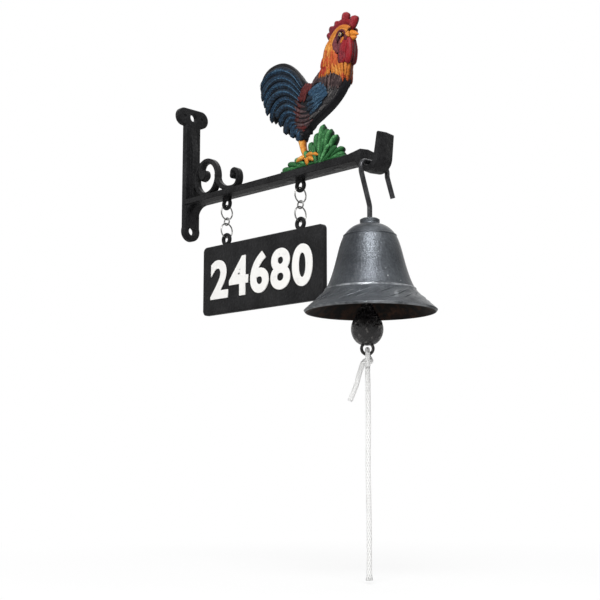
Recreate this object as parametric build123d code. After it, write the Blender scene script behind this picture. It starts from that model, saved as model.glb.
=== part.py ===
import os
from math import atan2, cos, degrees, pi, radians, sin, sqrt, tan

from build123d import *

# Frame: X runs out from the wall along the arm, Z is up.
# The origin is midway between the two wall screws, on the wall face.

# wall plate
plate_thickness = 5.0
plate_width = 18.0
screw_spacing = 111.5
screw_hole = 8.0
foot_radius = 9.6
lobe_span = 37.0
lobe_height = 16.8
dimple = 3.2
dimple_depth = 0.8
plate_edge = 1.2
rib_width = 6.0
rib_height = 4.0
rib_top = 44.0
gusset_radius = 11.0
gusset_rib_drop = 18.0

# arm with its hook
arm_drop = 31.6
arm_width = 18.0
arm_height_wall = 6.0
arm_height_end = 8.0
arm_length = 230.0
ramp_length = 16.0
block_rise = 2.5
casting_draft = 4.5
trough_radius = 6.5
hook_thickness = 5.9
hook_rise = 21.0
trough_lean = 11.0
tip_lean = 6.0
tip_round = 1.6

# scroll brace
scroll_width = 7.0
band = 4.6
band_edge = 1.1
oval_x = 27.2
oval_half_width = 15.1
oval_half_height = 16.2
curl_radius = 5.2
finial_x = 67.8
finial_radius = 4.3
finial_rise = 7.5
finial_knob = 0.9
curl_gap = 3.6
curl_lift = 3.0

# eyes, chains and sign
eye_bar = 3.6
eye_hole = 5.0
first_eye_x = 55.0
eye_spacing = 96.4
wire = 1.3
ring_outer = 14.5
link_outer = 8.0
chain_play = 0.2
sign_length = 156.0
sign_height = 64.0
sign_thickness = 5.6
sign_corner = 4.5
sign_edge = 0.9
ear_overlap = 1.7
sign_left_margin = 30.0

# figure on the arm
figure_x = 163.0
figure_core = 10.0
seat_depth = 1.0
screw_shank = 4.0
screw_head = 7.6
screw_head_depth = 2.2
screw_fit = 0.1
screw_reach = 4.0
screw_from_foot = (-23.0, 34.0)

# bell and the rod it hangs on
rod = 4.2
rod_play = 0.2
arch_half_width = 15.8
arch_bend = 5.5
bell_axis_y = -6.0
front_leg = 9.0
neck_start = 36.0
tail_leg = 18.0
tail_splay = 22.0
bell_rim_radius = 53.0
bell_height = 75.7
bell_wall = 3.2
crown_radius = 8.0
crown_thickness = 4.5
crown_drop = 46.6
bead = 0.8
washer_outer = 15.0
washer_thickness = 1.6
rod_eye_mean = 4.6
rod_eye_offset = 3.8

# clapper
link_wire = 2.4
link_eye_mean = 3.6
clapper_ball = 12.9
clapper_below_rim = 13.2
clapper_neck = 4.2
clapper_eye_mean = 3.4
clapper_eye_bar = 3.0
loop_outer = 5.8
loop_hole = 3.4
loop_width = 3.6
loop_edge = 0.9
loop_root = 3.4
loop_turn = 45.0
clapper_eye_above_rim = 11.0

# pull cord
cord = 4.0
cord_play = 0.2
knot_radius = 3.7
knot_height = 6.6
knot_round = 2.0

screw_z = screw_spacing / 2
arm_bottom = -arm_drop
trough_x = arm_length + trough_radius
trough_z = arm_bottom + 1.7
rod_x = trough_x
rod_top_z = trough_z - trough_radius + rod / 2 + rod_play
eye_mean = (eye_hole + eye_bar) / 2
eye_z = arm_bottom - eye_mean - eye_bar / 2 + 0.4
ring_mean = (ring_outer - wire) / 2
link_mean = (link_outer - wire) / 2
bar_reach = (eye_bar + wire) / 2 + chain_play
wire_reach = wire + chain_play


def arm_top(x):
    slope = (arm_height_end - arm_height_wall) / (arm_length - ramp_length)
    return arm_bottom + arm_height_wall + slope * x


def slab(profile, width, draft=0.0):
    return extrude(Plane.XZ * profile, amount=width / 2, both=True, taper=draft)


def closed(*lines):
    return make_face([edge for line in lines for edge in line.edges()])


def wire_ring(mean, thickness, centre, axis):
    return Plane(origin=centre, z_dir=axis) * Torus(mean, thickness / 2)


def softened(solid, radius):
    return fillet(solid.faces().filter_by(Axis.Y).edges(), radius)


# casting fixed to the wall
def wall_plate():
    strip = Pos(0, 0) * Rectangle(plate_width, screw_spacing)
    foot = Pos(0, -screw_z) * Circle(foot_radius)
    head = Pos(0, screw_z) * SlotOverall(lobe_span, lobe_height)
    plate = extrude(Plane.YZ * (strip + foot + head), amount=plate_thickness)
    plate = fillet(plate.faces().sort_by(Axis.X)[-1].edges(), plate_edge)
    lobe_y = (lobe_span - lobe_height) / 2
    for side in (-1, 1):
        across = Plane(origin=(0, 0, side * screw_z), z_dir=(1, 0, 0))
        plate -= across * Cylinder(screw_hole / 2, 3 * plate_thickness)
        pit = Plane(origin=(plate_thickness, side * lobe_y, screw_z), z_dir=(1, 0, 0))
        plate -= pit * Cylinder(dimple / 2, 2 * dimple_depth)
    return plate


def plate_ribs():
    face = plate_thickness - plate_edge
    low = arm_bottom - gusset_rib_drop
    upper = Polyline(
        (face, arm_bottom + 1),
        (plate_thickness + rib_height, arm_bottom + 1),
        (plate_thickness + rib_height, rib_top / 2),
        (plate_thickness, rib_top),
        (face, rib_top),
        close=True,
    )
    corner = (plate_thickness + gusset_radius, arm_bottom)
    foot = (plate_thickness, arm_bottom - gusset_radius)
    middle = gusset_radius * (1 - sin(pi / 4))
    hollow = ThreePointArc(foot, (plate_thickness + middle, arm_bottom - middle), corner)
    gusset = closed(
        Polyline(corner, (corner[0], arm_bottom + 1), (face, arm_bottom + 1), (face, foot[1]), foot),
        hollow,
    )
    spine = Polyline(
        (face, arm_bottom + 1),
        (plate_thickness + gusset_radius, arm_bottom + 1),
        (plate_thickness + rib_height / 2, arm_bottom - gusset_radius),
        (plate_thickness, low),
        (face, low),
        close=True,
    )
    ribs = slab(make_face(upper), rib_width, casting_draft)
    ribs += slab(gusset, arm_width - 2 * plate_edge)
    return ribs + slab(make_face(spine), rib_width, casting_draft)


def arm_with_hook():
    outer = trough_radius + hook_thickness
    lean_in = radians(trough_lean)
    lean_out = radians(tip_lean)
    meet = trough_x - sqrt(outer**2 - (trough_z - arm_bottom) ** 2)
    out_foot = (trough_x + outer * cos(lean_out), trough_z - outer * sin(lean_out))
    in_foot = (trough_x + trough_radius * cos(lean_in), trough_z - trough_radius * sin(lean_in))
    tip_z = arm_bottom + hook_rise
    out_tip = (out_foot[0] + (tip_z - out_foot[1]) * tan(lean_out), tip_z)
    in_tip = (in_foot[0] + (tip_z - in_foot[1]) * tan(lean_in), tip_z)
    wall_foot = (arm_length, trough_z)
    ramp = arm_length - ramp_length
    root = plate_thickness - plate_edge
    profile = closed(
        Line((root, arm_bottom), (meet, arm_bottom)),
        ThreePointArc((meet, arm_bottom), (trough_x, trough_z - outer), out_foot),
        Polyline(out_foot, out_tip, in_tip, in_foot),
        ThreePointArc(in_foot, (trough_x, trough_z - trough_radius), wall_foot),
        Polyline(
            wall_foot,
            (arm_length, arm_top(ramp) + block_rise),
            (ramp, arm_top(ramp)),
            (root, arm_top(root)),
            (root, arm_bottom),
        ),
    )
    tip = profile.vertices().group_by(Axis.Y)[-1]
    profile = fillet(tip, tip_round)
    throat = profile.vertices().sort_by_distance((meet, arm_bottom))[0]
    profile = fillet(throat, hook_thickness)
    return slab(profile, arm_width, casting_draft)


def scroll_outline(trim):
    thick = band / 2 - trim
    centre_z = arm_top(oval_x) - band_edge + oval_half_height + band / 2
    outside = Ellipse(oval_half_width + thick, oval_half_height + thick)
    inside = Ellipse(oval_half_width - thick, oval_half_height - thick)
    outline = Pos(oval_x, centre_z) * (outside - inside)
    leave_x = oval_x + oval_half_width
    valley_z = arm_top(finial_x) + band / 2 - band_edge
    finial_z = valley_z + finial_radius + finial_rise
    finial = [
        (leave_x - 0.4, centre_z + 1.0),
        (leave_x + 4.5, centre_z - oval_half_height / 1.6),
        (finial_x - 7, valley_z + 0.3),
        (finial_x + 1.5, valley_z + 2.2),
        (finial_x + finial_radius, finial_z - 1),
        (finial_x, finial_z + finial_radius),
        (finial_x - finial_radius + 1, finial_z),
    ]
    outline += trace(Spline(*finial, tangents=[(0, -1), (0.35, -1)]), 2 * thick)
    outline += Pos(*finial[-1]) * Circle(thick + finial_knob)
    curl_x = oval_x - oval_half_width + band / 2 + curl_radius + curl_gap
    curl_z = centre_z + curl_lift
    stem = [
        (oval_x - 2, centre_z + oval_half_height),
        (curl_x - 3.4, curl_z + 9),
        (curl_x - curl_radius + 1, curl_z + 1),
        (curl_x, curl_z - curl_radius + 1.4),
    ]
    outline += trace(Spline(*stem), 2 * thick)
    outline += Pos(curl_x, curl_z) * Circle(curl_radius - trim)
    return outline + Pos(plate_thickness + rib_height, centre_z) * Rectangle(2 * rib_height, 6 * thick)


def scroll_brace():
    core = slab(scroll_outline(0.0), scroll_width - 2 * band_edge)
    return core + slab(scroll_outline(band_edge), scroll_width)


def eye_under_arm(x):
    ring = wire_ring(eye_mean, eye_bar, (x, 0, eye_z), (0, 1, 0))
    neck_top = arm_bottom + 1
    neck_low = eye_z + eye_hole / 2 + eye_bar / 6
    neck = Pos(x, 0, (neck_top + neck_low) / 2) * Box(eye_mean * 2, eye_bar, neck_top - neck_low)
    return ring + neck


def figure_screw_x():
    return [figure_x + u for u in screw_from_foot]


def upward_screw(x, slack):
    head = Cone(screw_head / 2 + slack, screw_shank / 2 + slack, screw_head_depth)
    head = Pos(x, 0, arm_bottom + screw_head_depth / 2) * head
    length = arm_top(x) - arm_bottom + screw_reach + slack
    shank = Pos(x, 0, arm_bottom + length / 2) * Cylinder(screw_shank / 2 + slack, length)
    return head + shank


def wall_bracket():
    body = wall_plate() + plate_ribs() + arm_with_hook() + scroll_brace()
    for eye in range(2):
        body += eye_under_arm(first_eye_x + eye * eye_spacing)
    for x in figure_screw_x():
        body -= upward_screw(x, screw_fit)
        body -= Pos(x, 0, arm_bottom - 1) * Cylinder(screw_head / 2 + screw_fit, 2)
    return body


# painted figure; u runs along the arm and v up from the arm, both from the foot
foot_z = arm_top(figure_x)
tail_tips = [
    (-59.3, 83.2),
    (-57.0, 72.8),
    (-53.1, 66.7),
    (-45.3, 51.4),
    (-34.4, 45.2),
    (-26.8, 36.2),
    (-18.7, 31.5),
]
saddle = (2.0, 73.6)
rump = (-8.0, 28.0)
wing_centre = (13.5, 57.5)
blade_tips = [
    (4.0, 24.0),
    (9.0, 26.5),
    (14.4, 32.0),
    (19.8, 35.2),
    (28.5, 29.3),
    (34.8, 23.1),
    (41.5, 10.0),
    (-29.5, 7.5),
    (-21.4, 9.8),
]


def at_figure(solid):
    tilt = degrees(atan2(arm_top(1) - arm_top(0), 1))
    return Pos(figure_x, 0, foot_z) * Rot(0, -tilt, 0) * solid


def crescent(root, tip, bulge, width):
    span = (tip[0] - root[0], tip[1] - root[1])
    length = sqrt(span[0] ** 2 + span[1] ** 2)
    across = (span[1] / length, -span[0] / length)
    middle = ((root[0] + tip[0]) / 2, (root[1] + tip[1]) / 2)
    high = (middle[0] + across[0] * bulge, middle[1] + across[1] * bulge)
    low = (middle[0] + across[0] * (bulge - width), middle[1] + across[1] * (bulge - width))
    return closed(ThreePointArc(root, high, tip), ThreePointArc(tip, low, root))


def tail_feathers():
    ridge = [(-6.5, 80.0), (-18.8, 94.7), (-30.0, 101.0), (-43.2, 100.7), (-52.4, 97.0), (-58.2, 89.5)]
    inner = [(-52.0, 71.0), (-46.5, 61.0), (-40.0, 53.0), (-30.0, 46.0), (-20.0, 37.5)]
    fan = closed(Spline(saddle, *ridge, tail_tips[0]), Polyline(tail_tips[0], *inner, rump, saddle))
    tail = slab(fan, figure_core - 2.0)
    for i, tip in enumerate(tail_tips[1:]):
        share = (i + 1) / (len(tail_tips) - 1)
        root = (saddle[0] - 6.0 * share, saddle[1] - 6.0 - 36.0 * share)
        bulge = 15.0 * (1 - share) + 3.0
        width = 11.0 - 2.0 * share
        tail += slab(crescent(root, tip, bulge, width), figure_core - 1.2 + 0.5 * (i % 2))
    return tail


def body_and_neck():
    rump_top = (-10.0, 44.0)
    nape = (29.0, 109.0)
    crown = (40.0, 114.5)
    brow = (50.0, 109.5)
    back = [(-6.0, 63.0), saddle, (11.3, 74.9), (17.4, 82.7), (24.8, 97.7)]
    breast = [(50.0, 98.0), (47.5, 82.0), (44.8, 67.0), (36.0, 56.0), (22.0, 47.6), (7.0, 40.7), (-2.5, 35.0)]
    outline = closed(
        Spline(rump_top, *back, nape),
        ThreePointArc(nape, crown, brow),
        Spline(brow, *breast, rump),
        Line(rump, rump_top),
    )
    return slab(outline, figure_core)


def wing():
    pad = slab(Pos(*wing_centre) * Rot(0, 0, 62) * Ellipse(14.0, 10.5), figure_core + 3.0)
    pad = softened(pad, 1.3)
    for i in range(4):
        angle = radians(196 + 22 * i)
        reach = 15.5 - 0.6 * i
        root = (wing_centre[0] + 7.0, wing_centre[1] + 3.0)
        tip = (wing_centre[0] + reach * cos(angle), wing_centre[1] + reach * sin(angle))
        pad += slab(crescent(root, tip, 3.4, 6.8), figure_core + 1.4 + 0.5 * (i % 2))
    return pad


def hackles():
    skirt = None
    for i in range(6):
        share = i / 5
        root = (30.0 + 8.0 * share, 88.0)
        tip = (21.0 + 20.5 * share, 67.0 - 6.0 * share)
        plume = slab(crescent(root, tip, 3.2, 6.4), figure_core + 1.2 + 0.5 * (i % 2))
        skirt = plume if skirt is None else skirt + plume
    return skirt


def head():
    comb_foot = [(26.0, 106.0), (53.5, 110.0)]
    comb_ridge = [(54.0, 116.0), (44.0, 121.0), (28.0, 116.0)]
    comb_lobes = [
        (27.4, 113.6, 3.7),
        (31.5, 118.0, 3.9),
        (36.5, 119.6, 4.2),
        (44.7, 122.0, 5.0),
        (53.0, 116.5, 4.8),
    ]
    comb = slab(make_face(Polyline(*comb_foot, *comb_ridge, close=True)), 5.6)
    for u, v, radius in comb_lobes:
        comb += slab(Pos(u, v) * Circle(radius), 6.0)
    upper_bill = [(46.0, 111.0), (50.0, 111.0), (54.1, 108.8), (57.6, 105.1)]
    lower_bill = [(54.6, 102.5), (51.7, 101.1), (46.0, 101.0)]
    beak = slab(make_face(Polyline(*upper_bill, *lower_bill, close=True)), 6.6)
    wattle = slab(Pos(46.4, 91.0) * Rot(0, 0, 84) * Ellipse(11.0, 5.6), figure_core + 2.6)
    wattle = softened(wattle, 2.0)
    eye = slab(Pos(43.6, 105.5) * Circle(1.7), figure_core + 1.6)
    cheek = slab(Pos(38.5, 98.0) * Rot(0, 0, 78) * Ellipse(8.5, 4.6), figure_core + 0.8)
    return comb + beak + wattle + cheek + eye


def leg_and_grass():
    shin_front = [(-2.5, 31.0), (-2.3, 18.0), (2.0, 9.5), (4.2, 2.0)]
    shin_back = [(-1.5, 2.0), (-4.5, 9.5), (-7.2, 19.5), (-8.4, 31.0)]
    stand = slab(make_face(Polyline(*shin_front, *shin_back, close=True)), figure_core - 3.0)
    for i, tip in enumerate([(-11.6, 6.4), (2.2, 0.6), (15.4, 7.0)]):
        root = (0.8 * i - 1.6, 9.4 + 0.7 * i)
        stand += slab(crescent(root, tip, 1.9, 3.8), figure_core + 1.6 + 0.3 * i)
    turf = [(-31.5, -seat_depth), (43.5, -seat_depth), (42.0, 5.0), (20.0, 6.0), (-14.0, 6.0), (-30.0, 5.0)]
    stand += slab(make_face(Polyline(*turf, close=True)), figure_core)
    for i, tip in enumerate(blade_tips):
        root = (min(max(tip[0] * 0.5 + 4.0, -20.0), 24.0), 1.2)
        stand += slab(crescent(root, tip, 3.3, 6.6), figure_core - 1.0 + 0.6 * (i % 3))
    below = Pos(0, -seat_depth - 10) * Rectangle(200, 20)
    return stand - slab(below, 40)


def rooster():
    figure = tail_feathers() + body_and_neck() + wing() + hackles() + head() + leg_and_grass()
    figure = at_figure(figure) - arm_with_hook()
    for x in figure_screw_x():
        figure -= upward_screw(x, screw_fit)
    return figure


def figure_screws():
    return Compound(children=[upward_screw(x, 0.0) for x in figure_screw_x()])


# chains
def chain_levels():
    upper = eye_z - eye_mean + bar_reach - ring_mean
    link = upper - ring_mean + wire_reach - link_mean
    lower = link - link_mean + wire_reach - ring_mean
    ear = lower - ring_mean + bar_reach - eye_mean
    return upper, link, lower, ear


def chain(x):
    upper, link, lower = chain_levels()[:3]
    return {
        "upper_ring": wire_ring(ring_mean, wire, (x, 0, upper), (1, 0, 0)),
        "middle_link": wire_ring(link_mean, wire, (x, 0, link), (0, 1, 0)),
        "lower_ring": wire_ring(ring_mean, wire, (x, 0, lower), (1, 0, 0)),
    }


def sign():
    ear_z = chain_levels()[-1]
    top = ear_z - eye_mean - eye_bar / 2 + ear_overlap
    left = first_eye_x - sign_left_margin
    plate = RectangleRounded(sign_length, sign_height, sign_corner)
    board = slab(Pos(left + sign_length / 2, top - sign_height / 2) * plate, sign_thickness)
    board = chamfer(board.faces().filter_by(Axis.Y).edges(), sign_edge)
    for ear in range(2):
        board += wire_ring(eye_mean, eye_bar, (first_eye_x + ear * eye_spacing, 0, ear_z), (0, 1, 0))
    return board


# bell
crown_top_z = rod_top_z - crown_drop
rim_z = crown_top_z - bell_height
washer_top_z = crown_top_z - crown_thickness
rod_eye_z = washer_top_z - washer_thickness - rod_eye_mean - rod / 2
clapper_x = rod_x - rod_eye_offset


def on_axis(solid):
    return Pos(rod_x, bell_axis_y, 0) * solid


def hung(solid):
    return Pos(clapper_x, bell_axis_y, 0) * solid


def bell_outline():
    flare = [(1.0, 0.02), (0.865, 0.103), (0.68, 0.235), (0.595, 0.36), (0.515, 0.55), (0.455, 0.71)]
    shoulder = [(0.397, 0.81), (0.3, 0.89)]
    points = [(bell_rim_radius * r, rim_z + bell_height * h) for r, h in flare + shoulder]
    return points + [(crown_radius + 1.5, crown_top_z - 5.0)]


def inset(points, wall):
    moved = []
    for i, (r, z) in enumerate(points):
        before = points[max(i - 1, 0)]
        after = points[min(i + 1, len(points) - 1)]
        along = (after[0] - before[0], after[1] - before[1])
        length = sqrt(along[0] ** 2 + along[1] ** 2)
        moved.append((r - wall * along[1] / length, z + wall * along[0] / length))
    return moved


def bell_dome():
    outer = bell_outline()
    inner = inset(outer, bell_wall)
    inner[0] = (bell_rim_radius - bell_wall, rim_z)
    hole = rod / 2 + rod_play
    edges = [
        Line((bell_rim_radius - 1.0, rim_z), outer[0]),
        Spline(*outer),
        Polyline(
            outer[-1],
            (crown_radius, crown_top_z - 4.0),
            (crown_radius, crown_top_z - 1.0),
            (crown_radius - 1.5, crown_top_z),
            (hole, crown_top_z),
            (hole, washer_top_z),
            (washer_outer / 2 + 1.0, washer_top_z),
            inner[-2],
        ),
        Spline(*inner[-2::-1]),
        Line(inner[0], (bell_rim_radius - 1.0, rim_z)),
    ]
    dome = revolve(Plane.XZ * closed(*edges), Axis.Z)
    for r, z in (outer[6], outer[2]):
        dome += Pos(0, 0, z) * Torus(r - bead * 0.4, bead)
    return on_axis(dome)


def rod_path():
    top = rod_top_z
    splay = radians(tail_splay)
    rear_foot = (arch_half_width, top - arch_bend - 3.0)
    rear_end = (rear_foot[0] + tail_leg * sin(splay), rear_foot[1] - tail_leg * cos(splay))
    points = [
        rear_end,
        rear_foot,
        (arch_half_width, top),
        (-arch_half_width, top),
        (-arch_half_width, top - front_leg),
        (bell_axis_y, top - neck_start),
        (bell_axis_y, rod_eye_z),
    ]
    radii = [arch_bend, arch_bend, arch_bend, 2 * arch_bend, 2 * arch_bend]
    return FilletPolyline(*[(rod_x, y, z) for y, z in points], radius=radii)


def bell_hook():
    path = rod_path()
    shank = sweep(Plane(origin=path @ 0, z_dir=path % 0) * Circle(rod / 2), path=path)
    return shank + wire_ring(rod_eye_mean, rod, (clapper_x, bell_axis_y, rod_eye_z), (0, 1, 0))


def crown_washer():
    ring = Cylinder(washer_outer / 2, washer_thickness) - Cylinder(rod / 2 + rod_play, washer_thickness)
    return on_axis(Pos(0, 0, washer_top_z - washer_thickness / 2) * ring)


# clapper
link_top_z = rod_eye_z - rod_eye_mean + (rod + link_wire) / 2 + chain_play - link_eye_mean
ball_z = rim_z - clapper_below_rim
clapper_eye_z = rim_z + clapper_eye_above_rim
link_hang = (clapper_eye_bar + link_wire) / 2 + chain_play
link_low_z = clapper_eye_z + clapper_eye_mean - link_hang + link_eye_mean
loop_z = ball_z - clapper_ball - loop_outer + loop_root


def clapper_link():
    shape = wire_ring(link_eye_mean, link_wire, (0, 0, link_top_z), (1, 0, 0))
    shape += wire_ring(link_eye_mean, link_wire, (0, 0, link_low_z), (1, 0, 0))
    high = link_top_z - link_eye_mean
    low = link_low_z + link_eye_mean
    shape += Pos(0, 0, (high + low) / 2) * Cylinder(link_wire / 2, high - low)
    return hung(shape)


def clapper():
    neck_z = clapper_eye_z - clapper_eye_mean
    swell = closed(
        Line((0, ball_z - clapper_ball), (0, neck_z)),
        Line((0, neck_z), (clapper_neck, neck_z)),
        Spline(
            (clapper_neck, neck_z),
            (clapper_ball * 0.82, ball_z + clapper_ball * 0.66),
            (clapper_ball, ball_z - 0.5),
            (clapper_ball * 0.7, ball_z - clapper_ball * 0.75),
            (0, ball_z - clapper_ball),
            tangents=[(0.25, -1), (-1, 0)],
        ),
    )
    body = revolve(Plane.XZ * swell, Axis.Z)
    body += wire_ring(clapper_eye_mean, clapper_eye_bar, (0, 0, clapper_eye_z), (0, 1, 0))
    lug = softened(slab(Circle(loop_outer) - Circle(loop_hole), loop_width), loop_edge)
    body += Pos(0, 0, loop_z) * Rot(0, 0, loop_turn) * lug
    return hung(body)


# pull cord, tied through the clapper's loop
cord_bar_z = loop_z - (loop_outer + loop_hole) / 2
cord_loop_mean = (loop_width + cord) / 2 + cord_play
knot_top_z = cord_bar_z - cord_loop_mean + cord / 2
knot_low_z = knot_top_z - knot_height
long_route = [(0, 0), (0.6, -40.0), (-0.4, -82.0), (0.5, -124.0), (0.0, -165.4)]
tail_route = [(-3.2, 2.6), (-6.5, -6.0), (-9.0, -17.0), (-14.0, -28.0)]
view_y = 0.71


def cord_points(route):
    return [(clapper_x + a * view_y, bell_axis_y + a * view_y, knot_low_z + z) for a, z in route]


def cord_tube(route):
    points = cord_points(route)
    radii = []
    for before, here, after in zip(points, points[1:], points[2:]):
        run = min((Vector(*here) - Vector(*before)).length, (Vector(*after) - Vector(*here)).length)
        turn = (Vector(*here) - Vector(*before)).get_angle(Vector(*after) - Vector(*here))
        radii.append(0.45 * run / tan(radians(turn) / 2))
    path = FilletPolyline(*points, radius=radii)
    return sweep(Plane(origin=path @ 0, z_dir=path % 0) * Circle(cord / 2), path=path)


def cord_knot():
    tie = wire_ring(cord_loop_mean, cord, (0, 0, cord_bar_z), (1, 0, 0))
    barrel = Pos(0, 0, (knot_top_z + knot_low_z) / 2) * Cylinder(knot_radius, knot_height)
    return hung(Rot(0, 0, loop_turn) * (tie + fillet(barrel.edges(), knot_round)))


def loose_end(route):
    return cord_tube(route) - cord_knot()


nodes = {
    "wall_bracket": wall_bracket(),
    "rooster": rooster(),
    "figure_screws": figure_screws(),
    "sign": sign(),
    "bell_dome": bell_dome(),
    "bell_hook": bell_hook(),
    "crown_washer": crown_washer(),
    "clapper_link": clapper_link(),
    "clapper": clapper(),
    "cord_knot": cord_knot(),
    "cord_long": loose_end(long_route),
    "cord_tail": loose_end(tail_route),
}
for side, x in (("left", first_eye_x), ("right", first_eye_x + eye_spacing)):
    for name, solid in chain(x).items():
        nodes[side + "_" + name] = solid

os.makedirs("parts", exist_ok=True)
for name, solid in nodes.items():
    export_step(solid, os.path.join("parts", name + ".step"))
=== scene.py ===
import math
import random

import bmesh
import bpy
from mathutils import Matrix, Vector
from mathutils.bvhtree import BVHTree


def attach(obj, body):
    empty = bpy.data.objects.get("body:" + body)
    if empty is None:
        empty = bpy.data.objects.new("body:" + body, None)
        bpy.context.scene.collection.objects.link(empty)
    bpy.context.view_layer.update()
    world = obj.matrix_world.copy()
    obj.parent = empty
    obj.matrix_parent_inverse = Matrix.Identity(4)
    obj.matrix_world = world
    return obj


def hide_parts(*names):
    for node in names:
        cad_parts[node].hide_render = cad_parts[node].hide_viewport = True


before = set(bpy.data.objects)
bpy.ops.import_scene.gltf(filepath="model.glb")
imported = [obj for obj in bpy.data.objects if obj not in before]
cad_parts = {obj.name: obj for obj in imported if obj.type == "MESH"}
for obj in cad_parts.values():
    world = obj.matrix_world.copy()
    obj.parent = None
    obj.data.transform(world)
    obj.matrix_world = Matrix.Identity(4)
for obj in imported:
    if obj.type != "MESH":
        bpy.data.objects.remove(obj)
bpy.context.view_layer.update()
mm = 0.001
chance = random.Random(11)
print("frame loaded")


class Lead:  # one socket of a material, so that shader sums read as plain sums
    def __init__(self, tree, socket=None):
        self.tree = tree
        self.socket = socket

    def plug(self, target, value):
        if isinstance(value, Lead):
            self.tree.links.new(value.socket, target)
        else:
            target.default_value = value

    def make(self, kind, settings=None, inputs=None, out=0):
        made = self.tree.nodes.new(kind)
        for key, value in (settings or {}).items():
            if key == "stops":
                stops = made.color_ramp.elements
                stops.remove(stops[1])
                stops[0].position = value[0][0]
                stops[0].color = (*value[0][1], 1.0)
                for place, colour in value[1:]:
                    stops.new(place).color = (*colour, 1.0)
            else:
                setattr(made, key, value)
        for key, value in (inputs or {}).items():
            self.plug(made.inputs[key], value)
        return Lead(self.tree, made.outputs[out])

    def sum(self, operation, first, second=0.0):
        return self.make("ShaderNodeMath", {"operation": operation}, {0: first, 1: second})

    def __add__(self, other):
        return self.sum("ADD", self, other)

    def __radd__(self, other):
        return self.sum("ADD", other, self)

    def __sub__(self, other):
        return self.sum("SUBTRACT", self, other)

    def __rsub__(self, other):
        return self.sum("SUBTRACT", other, self)

    def __mul__(self, other):
        return self.sum("MULTIPLY", self, other)

    def __rmul__(self, other):
        return self.sum("MULTIPLY", other, self)

    def __truediv__(self, other):
        return self.sum("DIVIDE", self, other)

    def step(self, low, high):  # 0 below low, 1 above high, soft between
        return self.make(
            "ShaderNodeMapRange",
            {"interpolation_type": "SMOOTHSTEP"},
            {"Value": self, "From Min": low, "From Max": high},
        )

    def sine(self):
        return self.sum("SINE", self)

    def size(self):
        return self.sum("ABSOLUTE", self)

    def noise(self, scale, detail=3.0, roughness=0.55, place=None):
        where = place or self.spot()
        return self.make(
            "ShaderNodeTexNoise",
            {"noise_dimensions": "3D"},
            {"Vector": where, "Scale": scale, "Detail": detail, "Roughness": roughness},
        )

    def spot(self):
        return self.make("ShaderNodeTexCoord", out=3)

    def axes(self, vector):
        return [self.make("ShaderNodeSeparateXYZ", inputs={0: vector}, out=i) for i in range(3)]

    def chart(self, name):  # a piece's own map, as its two numbers
        here = self.make("ShaderNodeUVMap", {"uv_map": name})
        return self.axes(here)[:2]

    def mix(self, amount, first, second):
        full = lambda c: c if isinstance(c, Lead) else (*c, 1.0)
        return self.make(
            "ShaderNodeMix", {"data_type": "RGBA"}, {0: amount, 6: full(first), 7: full(second)}, out=2
        )


def tone(red, green, blue):  # screen colour to light
    def linear(c):
        c = c / 255
        return c / 12.92 if c <= 0.04045 else ((c + 0.055) / 1.055) ** 2.4

    return (linear(red), linear(green), linear(blue))


def newFinish(name, **constants):
    material = bpy.data.materials.new(name)
    material.use_nodes = True
    shader = material.node_tree.nodes["Principled BSDF"]
    for key, value in constants.items():
        shader.inputs[key.replace("_", " ")].default_value = value
    return material, Lead(material.node_tree), shader


def wearFinish(lead, shader, colour, roughness, height=None, depth=0.0003, edge=0.0, **more):
    lead.plug(shader.inputs["Base Color"], colour)
    lead.plug(shader.inputs["Roughness"], roughness)
    for key, value in more.items():
        lead.plug(shader.inputs[key.replace("_", " ")], value)
    if height is not None:
        shape = {"Distance": depth, "Height": height}
        if edge:  # cast edges are rounded, and catch the light
            shape["Normal"] = lead.make("ShaderNodeBevel", {"samples": 6}, {"Radius": edge})
        lead.plug(shader.inputs["Normal"], lead.make("ShaderNodeBump", inputs=shape))


# camera
cameraSet = {
    "place": (0.83944, -0.67826, -0.27975),
    "forward": (-0.70479, 0.69418, 0.14624),
    "lens": 69.0,
    "sensor": 36.0,
}
camera = bpy.data.objects.new("camera", bpy.data.cameras.new("camera"))
camera.data.lens = cameraSet["lens"]
camera.data.sensor_width = cameraSet["sensor"]
camera.location = cameraSet["place"]
camera.rotation_euler = Vector(cameraSet["forward"]).to_track_quat("-Z", "Y").to_euler()
bpy.context.scene.collection.objects.link(camera)
bpy.context.scene.camera = camera
print("camera set")


def routeLine(points, steps=8):  # smooth line through a route's control points
    curve = bpy.data.curves.new("route", "CURVE")
    curve.dimensions = "3D"
    spline = curve.splines.new("NURBS")
    spline.points.add(len(points) - 1)
    for knot, point in zip(spline.points, points):
        knot.co = (*point, 1.0)
    spline.order_u = 3
    spline.use_endpoint_u = True
    spline.resolution_u = steps
    carrier = bpy.data.objects.new("route", curve)
    mesh = bpy.data.meshes.new_from_object(carrier)
    line = [v.co.copy() for v in mesh.vertices]
    bpy.data.objects.remove(carrier)
    bpy.data.meshes.remove(mesh)
    bpy.data.curves.remove(curve)
    return line


def along(table, t):  # value of a short table of (place, value) at t
    for (a, x), (b, y) in zip(table, table[1:]):
        if t <= b:
            return x + (y - x) * (t - a) / max(b - a, 1e-9)
    return table[-1][1]


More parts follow.
